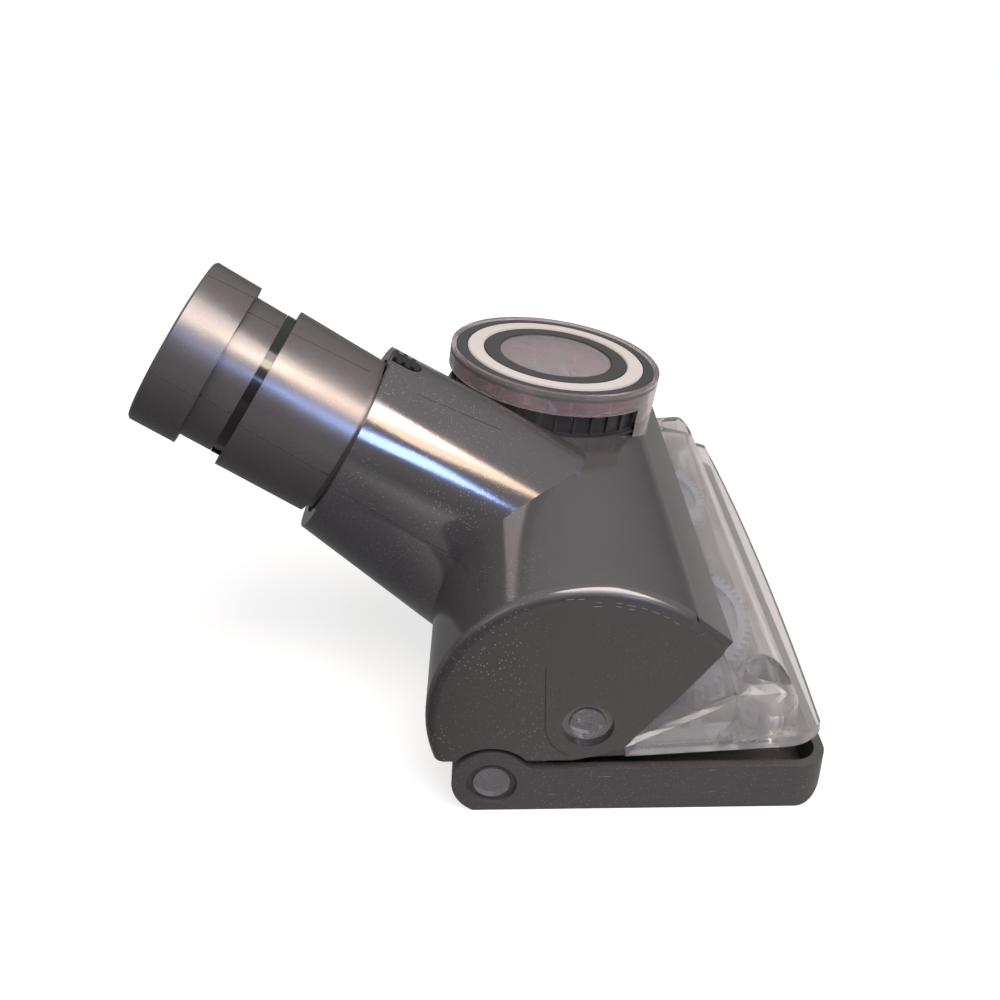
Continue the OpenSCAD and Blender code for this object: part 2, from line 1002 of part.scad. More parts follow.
// dark vane ring under the bowl with the bearing hub in its floor
module turbine_frame() {
  color([0.25, 0.25, 0.26])
    difference() {
      in_turbine()
        difference() {
          union() {
            tube(frame_r - 0.9, frame_r - 0.9 - frame_t, frame_low, -bowl_h - 0.05);
            for (i = [0 : 35])
              rotate(i * 10)
                translate([frame_r - 1.2, -rib_t / 2, frame_low])
                  cube([1.1, rib_t, -bowl_h - 0.05 - frame_low]);
            translate([0, 0, frame_low])
              cylinder(r = frame_r - 0.1, h = 1.4);
            translate([0, 0, -27])
              cylinder(r = bearing_r + 1.6, h = 15);
            for (a = [90, 150, 210])
              rotate(a)
                translate([bearing_r, -0.8, -17])
                  cube([14, 1.6, 5]);
          }
          // air slots in the floor
          for (a = [-60, 0, 60, 120, 180])
            rotate(a)
              translate([16, 0, frame_low - 1])
                cylinder(r = 4, h = 4);
          translate([0, 0, -15])
            cylinder(r = bearing_r, h = 10);
          translate([0, 0, -28])
            cylinder(r = bearing_r, h = 4);
          translate([0, 0, -40])
            cylinder(r = 3, h = 40);
        }
      in_neck()
        cylinder(r = neck_r + 0.3, h = 90);
    }
}

module bearing(z0) {
  in_turbine()
    tube(bearing_r, shaft_r + bush_play, z0, z0 + 3);
}

module bearing_upper() {
  color([0.8, 0.8, 0.82])
    bearing(-15);
}

module bearing_lower() {
  color([0.8, 0.8, 0.82])
    bearing(-27);
}

module turbine_bowl() {
  color([0.85, 0.8, 0.82, 0.35])
    in_turbine() {
      tube(bowl_r, bowl_r - bowl_wall, -bowl_h, 0);
      translate([0, 0, -ring_t - roof_t])
        cylinder(r = bowl_r - 1, h = roof_t);
      // rounded upper lip
      tube(bowl_r - bowl_wall / 4, bowl_r - bowl_wall * 3 / 4, -0.1, 0.35);
      // deeper skirt at the front
      intersection() {
        tube(bowl_r, frame_r + 0.1, -skirt_h, 1 - bowl_h);
        translate([front_cut, -40, -40])
          cube([40, 80, 60]);
      }
    }
}

module ring_piece(ro, ri, h) {
  in_turbine() {
    tube(ro, ri, -ring_t, h - 0.25);
    tube(ro - 0.25, ri + 0.25, h - 0.3, h);
  }
}

module outer_bezel() {
  color([0.32, 0.31, 0.32])
    ring_piece(bowl_r - bowl_wall - ring_gap, trim_r, -0.1);
}

module trim_ring() {
  color([0.9, 0.88, 0.86])
    ring_piece(trim_r - ring_gap, inner_r, 0.1);
}

module inner_bezel() {
  color([0.32, 0.31, 0.32])
    ring_piece(inner_r - ring_gap, window_r + ring_gap, 0);
}

module window_lens() {
  dome = 100;
  color([0.85, 0.8, 0.82, 0.35])
    in_turbine()
      intersection() {
        translate([0, 0, -ring_t])
          cylinder(r = window_r, h = 10);
        translate([0, 0, 1 - dome])
          sphere(r = dome, $fn = 200);
      }
}

module turbine_wheel() {
  k = wheel_r / 21.4;
  color([0.62, 0.1, 0.14])
    in_turbine()
      difference() {
        union() {
          translate([0, 0, -8.6])
            cylinder(r = wheel_r - 2, h = 1.2);
          translate([0, 0, -10.4])
            cylinder(r = 6, h = 6.8);
          for (i = [0 : blades - 1])
            rotate(i * 360 / blades)
              translate([0, 0, -7.6])
                linear_extrude(height = 4.8)
                  polygon([for (q = [[5, -0.6], [10, 0.4], [14.5, 2.2], [18.2, 4.8],
                    [20.2, 7], [19.2, 7.8], [17.2, 5.9], [13.8, 3.4], [9.6, 1.7], [5, 0.7]])
                      k * q]);
        }
        translate([0, 0, -20])
          cylinder(r = shaft_r, h = 30);
      }
}

module turbine_shaft() {
  color([0.78, 0.78, 0.8])
    in_turbine()
      translate([0, 0, shaft_end])
        cylinder(r = shaft_r, h = -2.9 - shaft_end);
}

module wheel_nut() {
  color([0.6, 0.6, 0.62])
    in_turbine()
      tube(3.6, shaft_r, -3.6, -2.9);
}

// catch

module cuff_catch() {
  color([0.05, 0.05, 0.05])
    in_neck()
      translate([catch_x, 0, catch_s]) {
        rotate([0, 90, 0])
          cylinder(r = catch_w / 2, h = 5.2);
        translate([0, -catch_w / 2, 0])
          cube([5.2, catch_w, catch_l - catch_w / 2 - 1.4]);
        for (i = [0 : 2])
          translate([4.9, -catch_w / 2 + 0.3, -1.4 + i * 2.3])
            cube([1, catch_w - 0.6, 1]);
      }
}

sole_tray();
gear_case_base();
gear_case_cover();
cover_screw_left();
cover_screw_right();
pinion_bush();
gear_left();
axle_left();
brush_disc_left();
bristles_left();
disc_screw_left();
gear_right();
axle_right();
brush_disc_right();
bristles_right();
disc_screw_right();
drive_pinion();
flex_coupling();
drum_shell();
neck_cuff();
retaining_clip();
cuff_seal();
turbine_frame();
bearing_upper();
bearing_lower();
turbine_bowl();
outer_bezel();
trim_ring();
inner_bezel();
window_lens();
turbine_wheel();
turbine_shaft();
wheel_nut();
cuff_catch();
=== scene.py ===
"""Looks of a turbine driven vacuum brush head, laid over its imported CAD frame."""

import logging
import math
from dataclasses import dataclass, field
from enum import Enum
from typing import Any

import bmesh
import bpy
from mathutils import Matrix, Vector


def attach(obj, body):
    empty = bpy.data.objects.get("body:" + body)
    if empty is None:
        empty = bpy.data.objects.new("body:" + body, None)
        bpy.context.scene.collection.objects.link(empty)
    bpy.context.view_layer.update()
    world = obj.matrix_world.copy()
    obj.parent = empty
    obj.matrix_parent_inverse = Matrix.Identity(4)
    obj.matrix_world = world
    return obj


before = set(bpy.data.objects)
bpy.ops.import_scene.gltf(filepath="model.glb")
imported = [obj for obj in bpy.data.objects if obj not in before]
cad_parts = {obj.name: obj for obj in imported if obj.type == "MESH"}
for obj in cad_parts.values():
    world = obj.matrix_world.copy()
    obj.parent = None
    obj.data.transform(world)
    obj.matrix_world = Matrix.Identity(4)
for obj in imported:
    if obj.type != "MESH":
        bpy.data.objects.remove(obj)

MM = 0.001
IMAGE_SIDE = 1000
LOG = logging.getLogger("brush_head")

PLASTIC_IOR = 1.53
CLOUD_MM = 22
SPECK_PITCH_MM = 0.8
SPECK_REACH = 0.17
DUST_PATCH_MM = 14
DUST_FADE_MM = 18
DUST_COLOUR = "#c9bdb2"
SCUFF_LONG_MM = 7
SCUFF_WIDE_MM = 0.8
SCUFF_COLOUR = "#b8aea6"
END_EDGE_MM = 0.4

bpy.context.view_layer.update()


def linear(hex_colour: str) -> tuple[float, float, float, float]:
    """Turns an sRGB hex colour into linear values.

    Args:
        hex_colour: Six hex digits with a leading hash.

    Returns:
        Linear red, green, blue and an alpha of 1.
    """
    parts = [int(hex_colour[i : i + 2], 16) / 255 for i in (1, 3, 5)]
    lin = [c / 12.92 if c <= 0.04045 else ((c + 0.055) / 1.055) ** 2.4 for c in parts]
    return (lin[0], lin[1], lin[2], 1.0)


def add_node(
    tree: bpy.types.NodeTree,
    kind: str,
    values: dict[str, Any] | None = None,
    links: dict[str, bpy.types.NodeSocket] | None = None,
    **settings: Any,
) -> bpy.types.Node:
    """Adds a node with its settings, socket values and incoming links.

    Args:
        tree: The node tree that gets the node.
        kind: Blender's name of the node's class.
        values: Input name to the value set on it.
        links: Input name to the output that feeds it.
        **settings: Properties of the node itself.

    Returns:
        The new node.
    """
    node = tree.nodes.new(kind)
    for name, value in settings.items():
        setattr(node, name, value)
    for name, value in (values or {}).items():
        node.inputs[name].default_value = value
    for name, source in (links or {}).items():
        tree.links.new(source, node.inputs[name])
    return node


def per_metre(size_mm: float) -> float:
    """Gives the texture scale of a pattern whose cells are this many millimetres."""
    return 1 / (size_mm * MM)


class Gloss(Enum):
    """How much the surface of a moulding was polished in its tool."""

    SATIN = 0.42
    SEMI = 0.27
    HIGH = 0.13


@dataclass(frozen=True)
class Moulding:
    """Opaque injection moulded plastic, such as ABS.

    The eye gets an even colour with a slight cloud in it, a soft skin bump, pale
    dust specks, and short rub marks where hands and furniture touch it.
    """

    name: str
    colour: str
    cloud_colour: str
    gloss: Gloss
    metallic: float = 0.0
    coat: float = 0.0
    dust: float = 0.0
    scuffs: float = 0.0
    skin_mm: float = 0.9
    skin_depth: float = 0.02
    specular: float = 0.5
    # A darker colour painted on the end faces: painted shade of the upright sides.
    end_shade_colour: str = ""
    end_from_mm: float = 0.0
    dust_to_mm: float = 0.0

    def build(self) -> bpy.types.Material:
        """Makes the material.

        Returns:
            The new Blender material.
        """
        mat = bpy.data.materials.new(self.name)
        mat.use_nodes = True
        tree = mat.node_tree
        tree.nodes.clear()
        place = add_node(tree, "ShaderNodeTexCoord").outputs["Object"]
        cloud = add_node(
            tree,
            "ShaderNodeTexNoise",
            {"Scale": per_metre(CLOUD_MM), "Detail": 3.0},
            {"Vector": place},
        )
        body = add_node(
            tree,
            "ShaderNodeMix",
            {"A": linear(self.colour), "B": linear(self.cloud_colour)},
            {"Factor": cloud.outputs["Fac"]},
            data_type="RGBA",
        )
        colour = body.outputs["Result"]
        rough = add_node(
            tree,
            "ShaderNodeMapRange",
            {
                "From Min": 0.3,
                "From Max": 0.7,
                "To Min": self.gloss.value * 0.85,
                "To Max": self.gloss.value * 1.2,
            },
            {"Value": cloud.outputs["Fac"]},
        )
        rough = rough.outputs["Result"]
        # Paints shade onto the end faces as a darker colour, and makes them satin.
        if self.end_shade_colour:
            colour, rough = self.shade_and_satin_ends(tree, place, colour, rough)
        if self.dust > 0:
            colour = self.dusted(tree, place, colour)
        if self.scuffs > 0:
            colour = self.scuffed(tree, place, colour)
        skin = add_node(
            tree,
            "ShaderNodeTexNoise",
            {"Scale": per_metre(self.skin_mm), "Detail": 2.0},
            {"Vector": place},
        )
        bump = add_node(
            tree,
            "ShaderNodeBump",
            {"Strength": 0.35, "Distance": self.skin_depth * MM},
            {"Height": skin.outputs["Fac"]},
        )
        shader = add_node(
            tree,
            "ShaderNodeBsdfPrincipled",
            {
                "Metallic": self.metallic,
                "IOR": PLASTIC_IOR,
                "Coat Weight": self.coat,
                "Coat Roughness": 0.06,
                "Specular IOR Level": self.specular,
            },
            {
                "Base Color": colour,
                "Roughness": rough,
                "Normal": bump.outputs["Normal"],
            },
        )
        add_node(
            tree,
            "ShaderNodeOutputMaterial",
            links={"Surface": shader.outputs["BSDF"]},
        )
        return mat

    def shade_and_satin_ends(
        self,
        tree: bpy.types.NodeTree,
        place: bpy.types.NodeSocket,
        colour: bpy.types.NodeSocket,
        rough: bpy.types.NodeSocket,
    ) -> tuple[bpy.types.NodeSocket, bpy.types.NodeSocket]:
        """Gives the flat end faces of the moulding a satin skin, and paints their shade onto them
        as a darker colour.

        Args:
            tree: The material's tree.
            place: Object coordinates.
            colour: The colour between the end faces.
            rough: The roughness between the end faces.

        Returns:
            The colour and the roughness of the whole.
        """
        axes = add_node(tree, "ShaderNodeSeparateXYZ", links={"Vector": place})
        outward = add_node(
            tree, "ShaderNodeMath", links={0: axes.outputs["Y"]}, operation="ABSOLUTE"
        )
        face = add_node(
            tree,
            "ShaderNodeMapRange",
            {
                "From Min": self.end_from_mm * MM,
                "From Max": (self.end_from_mm + END_EDGE_MM) * MM,
            },
            {"Value": outward.outputs[0]},
        ).outputs["Result"]
        # The darker end colour is painted shade of the side faces.
        mixed = add_node(
            tree,
            "ShaderNodeMix",
            {"B": linear(self.end_shade_colour)},
            {"A": colour, "Factor": face},
            data_type="RGBA",
        )
        satin = add_node(
            tree,
            "ShaderNodeMix",
            {"B": Gloss.SATIN.value},
            {"Factor": face, "A": rough},
        )
        return mixed.outputs["Result"], satin.outputs["Result"]

    def dusted(
        self,
        tree: bpy.types.NodeTree,
        place: bpy.types.NodeSocket,
        colour: bpy.types.NodeSocket,
    ) -> bpy.types.NodeSocket:
        """Adds pale dust specks of about 0.3 mm, in patches, thinner ahead.

        Args:
            tree: The material's tree.
            place: Object coordinates.
            colour: The colour under the dust.

        Returns:
            The dusted colour.
        """
        cells = add_node(
            tree,
            "ShaderNodeTexVoronoi",
            {"Scale": per_metre(SPECK_PITCH_MM)},
            {"Vector": place},
        )
        speck = add_node(
            tree,
            "ShaderNodeMath",
            {1: SPECK_REACH},
            {0: cells.outputs["Distance"]},
            operation="LESS_THAN",
        )
        patches = add_node(
            tree,
            "ShaderNodeTexNoise",
            {"Scale": per_metre(DUST_PATCH_MM), "Detail": 2.0},
            {"Vector": place},
        )
        where = add_node(
            tree,
            "ShaderNodeMapRange",
            {"From Min": 0.35, "From Max": 0.6, "To Min": 0.15, "To Max": self.dust},
            {"Value": patches.outputs["Fac"]},
        )
        amount = add_node(
            tree,
            "ShaderNodeMath",
            links={0: speck.outputs[0], 1: where.outputs["Result"]},
            operation="MULTIPLY",
        )
        if self.dust_to_mm:
            axes = add_node(tree, "ShaderNodeSeparateXYZ", links={"Vector": place})
            behind = add_node(
                tree,
                "ShaderNodeMapRange",
                {
                    "From Min": self.dust_to_mm * MM,
                    "From Max": (self.dust_to_mm - DUST_FADE_MM) * MM,
                    "To Min": 0.15,
                },
                {"Value": axes.outputs["X"]},
            )
            amount = add_node(
                tree,
                "ShaderNodeMath",
                links={0: amount.outputs[0], 1: behind.outputs["Result"]},
                operation="MULTIPLY",
            )
        mixed = add_node(
            tree,
            "ShaderNodeMix",
            {"B": linear(DUST_COLOUR)},
            {"A": colour, "Factor": amount.outputs[0]},
            data_type="RGBA",
        )
        return mixed.outputs["Result"]

    def scuffed(
        self,
        tree: bpy.types.NodeTree,
        place: bpy.types.NodeSocket,
        colour: bpy.types.NodeSocket,
    ) -> bpy.types.NodeSocket:
        """Adds pale rub marks, a few millimetres long and under one wide.

        Args:
            tree: The material's tree.
            place: Object coordinates.
            colour: The colour under the marks.

        Returns:
            The scuffed colour.
        """
        stretched = add_node(
            tree,
            "ShaderNodeMapping",
            {
                "Scale": (
                    per_metre(SCUFF_LONG_MM),
                    per_metre(SCUFF_LONG_MM),
                    per_metre(SCUFF_WIDE_MM),
                ),
                "Rotation": (0, 0.25, 0),
            },
            {"Vector": place},
        )
        streaks = add_node(
            tree,
            "ShaderNodeTexNoise",
            {"Scale": 1.0, "Detail": 4.0},
            {"Vector": stretched.outputs["Vector"]},
        )
        sharp = add_node(
            tree,
            "ShaderNodeMapRange",
            {"From Min": 0.68, "From Max": 0.76, "To Max": self.scuffs},
            {"Value": streaks.outputs["Fac"]},
        )
        mixed = add_node(
            tree,
            "ShaderNodeMix",
            {"B": linear(SCUFF_COLOUR)},
            {"A": colour, "Factor": sharp.outputs["Result"]},
            data_type="RGBA",
        )
        return mixed.outputs["Result"]


@dataclass(frozen=True)
class ClearMoulding:
    """Clear injection moulded polycarbonate.

    The eye looks through it, sees a faint warm tint in its thick edges, and gets
    small bright ripples from the flow of the moulding.
    """

    name: str
    tint: str
    roughness: float
    ripple_mm: float = 9.0
    ripple_depth: float = 0.12
    ior: float = 1.45
    clear: float = 1.0

    def build(self) -> bpy.types.Material:
        """Makes the material.

        Returns:
            The new Blender material.
        """
        mat = bpy.data.materials.new(self.name)
        mat.use_nodes = True
        tree = mat.node_tree
        tree.nodes.clear()
        place = add_node(tree, "ShaderNodeTexCoord").outputs["Object"]
        ripple = add_node(
            tree,
            "ShaderNodeTexNoise",
            {"Scale": per_metre(self.ripple_mm), "Detail": 2.0},
            {"Vector": place},
        )
        bump = add_node(
            tree,
            "ShaderNodeBump",
            {"Strength": 0.3, "Distance": self.ripple_depth * MM},
            {"Height": ripple.outputs["Fac"]},
        )
        smear = add_node(
            tree,
            "ShaderNodeMapRange",
            {
                "From Min": 0.35,
                "From Max": 0.75,
                "To Min": self.roughness,
                "To Max": self.roughness * 2.2,
            },
            {"Value": ripple.outputs["Fac"]},
        )
        shader = add_node(
            tree,
            "ShaderNodeBsdfPrincipled",
            {
                "Base Color": linear(self.tint),
                "IOR": self.ior,
                "Transmission Weight": self.clear,
            },
            {"Normal": bump.outputs["Normal"], "Roughness": smear.outputs["Result"]},
        )
        add_node(
            tree,
            "ShaderNodeOutputMaterial",
            links={"Surface": shader.outputs["BSDF"]},
        )
        return mat


@dataclass(frozen=True)
class Metal:
    """Bare machined or pressed metal.

    The eye gets fine turning lines and a roughness that wanders a little.
    """

    name: str
    colour: str
    roughness: float
    line_mm: float

    def build(self) -> bpy.types.Material:
        """Makes the material.

        Returns:
            The new Blender material.
        """
        mat = bpy.data.materials.new(self.name)
        mat.use_nodes = True
        tree = mat.node_tree
        tree.nodes.clear()
        place = add_node(tree, "ShaderNodeTexCoord").outputs["Object"]
        lines = add_node(
            tree,
            "ShaderNodeTexNoise",
            {"Scale": per_metre(self.line_mm), "Detail": 3.0},
            {"Vector": place},
        )
        rough = add_node(
            tree,
            "ShaderNodeMapRange",
            {"To Min": self.roughness * 0.7, "To Max": self.roughness * 1.3},
            {"Value": lines.outputs["Fac"]},
        )
        bump = add_node(
            tree,
            "ShaderNodeBump",
            {"Strength": 0.3, "Distance": 0.01 * MM},
            {"Height": lines.outputs["Fac"]},
        )
        shader = add_node(
            tree,
            "ShaderNodeBsdfPrincipled",
            {"Base Color": linear(self.colour), "Metallic": 1.0},
            {"Roughness": rough.outputs["Result"], "Normal": bump.outputs["Normal"]},
        )
        add_node(
            tree,
            "ShaderNodeOutputMaterial",
            links={"Surface": shader.outputs["BSDF"]},
        )
        return mat


# Injection moulded ABS with a pearl pigment: a deep gloss that holds sharp streaks of the
# windows, and plain satin end faces where the tool was only stoned.
# The end faces are also painted darker: painted shade of the upright sides, which face away from
# the overhead light.
PEARL_ABS = Moulding(
    "pearl_grey_abs", "#6a6667", "#736f71", Gloss.HIGH, 0.65, 0.25, 0.75,
    specular=0.4, end_shade_colour="#545050", end_from_mm=73.9, dust_to_mm=16.0,
)
# Moulded ABS with metal flake, polished less: the same streaks, broader and softer.
CUFF_ABS = Moulding(
    "metallic_grey_abs", "#6e6867", "#777170", Gloss.SEMI, 0.65, 0.1, 0.1, 0.1, specular=0.4
)
# Moulded ABS from an etched tool: even brown-grey with no mirror and a few rub marks.
SATIN_ABS = Moulding(
    "satin_brown_grey_abs", "#433f3f", "#4b4646", Gloss.SATIN, 0.05, 0.0, 0.2, 0.3, specular=0.35
)
# Moulded acetal, slippery and polished: near black with one small bright edge.
BLACK_ACETAL = Moulding("black_acetal", "#161415", "#1d1b1c", Gloss.HIGH, 0.0, 0.3)
# Moulded filled nylon: milky blue-grey, half glossy, so the teeth read through the case.
GEAR_NYLON = Moulding("blue_grey_gear_nylon", "#8b93a4", "#949cac", Gloss.SEMI)
# Moulded ABS from a stoned tool: dark and dull, so it falls back behind the gears.
DISC_ABS = Moulding("dark_disc_abs", "#2c2a2b", "#343233", Gloss.SATIN)
# Moulded natural acetal: a warm cream with a soft sheen.
CREAM_ACETAL = Moulding("natural_acetal", "#dcd6c6", "#e2ddd0", Gloss.SEMI)
# Moulded ABS, satin: a dark ring that frames the white one.
RING_ABS = Moulding("dark_grey_ring_abs", "#363435", "#3e3c3d", Gloss.SATIN)
# Moulded ABS, polished: warm white with a clear highlight.
WHITE_ABS = Moulding("warm_white_abs", "#c6beb9", "#cdc5c0", Gloss.HIGH, 0.0, 0.4)
# Moulded ABS dyed through: a deep red that glows through the window and the bowl.
RED_ABS = Moulding("turbine_red_abs", "#be1a36", "#c82844", Gloss.SEMI, 0.0, 0.2)
# The edge of two tool halves: a hair-thin line along the tube, painted dark as painted shade along
# the seam.
SHADED_LINE_ABS = Moulding("shaded_parting_line_abs", "#2e2b2a", "#383433", Gloss.SATIN, 0.2)
# The edge of a tool insert: a witness line painted dark as painted shade in its groove, which
# hardly reflects.
SHADED_GROOVE_ABS = Moulding("shadowed_groove_abs", "#201d1c", "#262322", Gloss.SATIN)
# Plastic rubbed pale by what it knocked against.
RUB_MARK = Moulding("pale_rub_mark", "#7d797c", "#959296", Gloss.SATIN)
# Moulded nitrile rubber: black, with a broad dull sheen.
RUBBER = Moulding("nitrile_rubber", "#1a1919", "#201f1f", Gloss.SATIN)
# Drawn nylon filament: black tufts with a faint sheen.
FILAMENT = Moulding("black_nylon_filament", "#1d1c1e", "#262528", Gloss.SATIN)
# Moulded polycarbonate, rubbed by use: clear with a light haze and soft ripples.
CLEAR_PC = ClearMoulding("clear_polycarbonate", "#f3f0ef", 0.05, ior=1.36, clear=0.88)
# Moulded polycarbonate, polished: a clear wall that takes the red of the wheel.
CLEAR_BOWL = ClearMoulding("clear_bowl_polycarbonate", "#f3e8e7", 0.02, ior=1.38, clear=0.88)
# Moulded polycarbonate with a fine haze: greys the wheel under it a little.
CLEAR_LENS = ClearMoulding("hazed_lens_polycarbonate", "#e9e6ea", 0.03, ior=1.38, clear=0.86)
# Turned steel: bright, with fine lines round the axis.
STEEL = Metal("turned_steel", "#b4b5b8", 0.25, 0.25)
# Sintered bronze: brown-gold and fine-grained.
BRONZE = Metal("sintered_bronze", "#b08d57", 0.4, 0.15)


def put(name: str, mesh: bpy.types.Mesh, finish: Any, body: str) -> bpy.types.Object:
    """Puts a new mesh into the scene, dressed and riding on a body.

    Args:
        name: The piece's name.
        mesh: Its mesh, in metres in the shared frame.
        finish: The finish it is dressed in.
        body: The CAD body it moves with.

    Returns:
        The new object.
    """
    piece = bpy.data.objects.new(name, mesh)
    bpy.context.scene.collection.objects.link(piece)
    mesh.materials.append(bpy.data.materials.get(finish.name) or finish.build())
    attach(piece, body)
    LOG.info("added %s to %s", name, body)
    return piece


def bead(name: str, lines: list[list[Vector]], radius_mm: float, sides: int = 6) -> bpy.types.Mesh:
    """Makes thin round beads along lines of points.

    Args:
        name: The mesh's name.
        lines: Lists of points in millimetres.
        radius_mm: Radius of each bead.
        sides: Sides of its cross-section.

    Returns:
        The new mesh, in metres.
    """
    work = bmesh.new()
    for line in lines:
        rings = []
        for i, point in enumerate(line):
            ahead = (line[min(i + 1, len(line) - 1)] - line[max(i - 1, 0)]).normalized()
            side = ahead.orthogonal().normalized()
            if i:
                side = (last - ahead * last.dot(ahead)).normalized()
            last = side
            up = ahead.cross(side)
            rings.append(
                [
                    work.verts.new(
                        (point + (side * math.cos(a) + up * math.sin(a)) * radius_mm) * MM
                    )
                    for a in (math.tau * k / sides for k in range(sides))
                ]
            )
        for one, two in zip(rings, rings[1:]):
            for k in range(sides):
                n = (k + 1) % sides
                work.faces.new((one[k], one[n], two[n], two[k]))
        work.faces.new(rings[0][::-1])
        work.faces.new(rings[-1])
    mesh = bpy.data.meshes.new(name)
    work.to_mesh(mesh)
    work.free()
    mesh.shade_smooth()
    return mesh


@dataclass(frozen=True)
class TubeFrame:
    """A round tube that leans back from the drum, in millimetres."""

    foot: tuple[float, float, float]
    slope: float

    def at(self, along: float, turn: float, radius: float) -> Vector:
        """Gives the point at a distance, an angle from the top line and a radius."""
        a, t = math.radians(self.slope), math.radians(turn)
        top = Vector((math.sin(a), 0.0, math.cos(a)))
        axis = Vector((-math.cos(a), 0.0, math.sin(a)))
        out = top * math.cos(t) + Vector((0.0, math.sin(t), 0.0))
        return Vector(self.foot) + axis * along + out * radius

    def line(
        self, start: tuple[float, float], end: tuple[float, float], radius: float
    ) -> list[Vector]:
        """Gives points on the tube from one (distance, angle) to another."""
        steps = 12
        return [
            self.at(
                start[0] + (end[0] - start[0]) * i / steps,
                start[1] + (end[1] - start[1]) * i / steps,
                radius,
            )
            for i in range(steps + 1)
        ]


@dataclass
class SubAssembly:
    """Pieces that are put together before they go on the brush head."""

    looks: dict[str, Any] = field(default_factory=dict)

    def dress(self) -> None:
        """Gives each named CAD node its finish."""
        for node_name, finish in self.looks.items():
            mat = bpy.data.materials.get(finish.name) or finish.build()
            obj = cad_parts[node_name]
            obj.data.materials.clear()
            obj.data.materials.append(mat)
            LOG.info("dressed %s in %s", node_name, finish.name)

    def build(self) -> None:
        """Builds the meshes that ride on the CAD nodes, where there are any."""


@dataclass
class SoleAndCase(SubAssembly):
    """The sole tray and the clear gear case."""

    looks: dict[str, Any] = field(
        default_factory=lambda: {
            "sole_tray": SATIN_ABS,
            "gear_case_base": CLEAR_PC,
            "gear_case_cover": CLEAR_PC,
            "cover_screw_left": STEEL,
            "cover_screw_right": STEEL,
            "pinion_bush": BRONZE,
        }
    )


@dataclass
class GearTrain(SubAssembly):
    """The gears, their axles, the discs and the drive."""

    looks: dict[str, Any] = field(
        default_factory=lambda: {
            **{
                f"{piece}_{side}": finish
                for side in ("left", "right")
                for piece, finish in (
                    ("gear", GEAR_NYLON),
                    ("axle", STEEL),
                    ("brush_disc", DISC_ABS),
                    ("bristles", FILAMENT),
                    ("disc_screw", STEEL),
                )
            },
            "drive_pinion": CREAM_ACETAL,
            "flex_coupling": RUBBER,
        }
    )


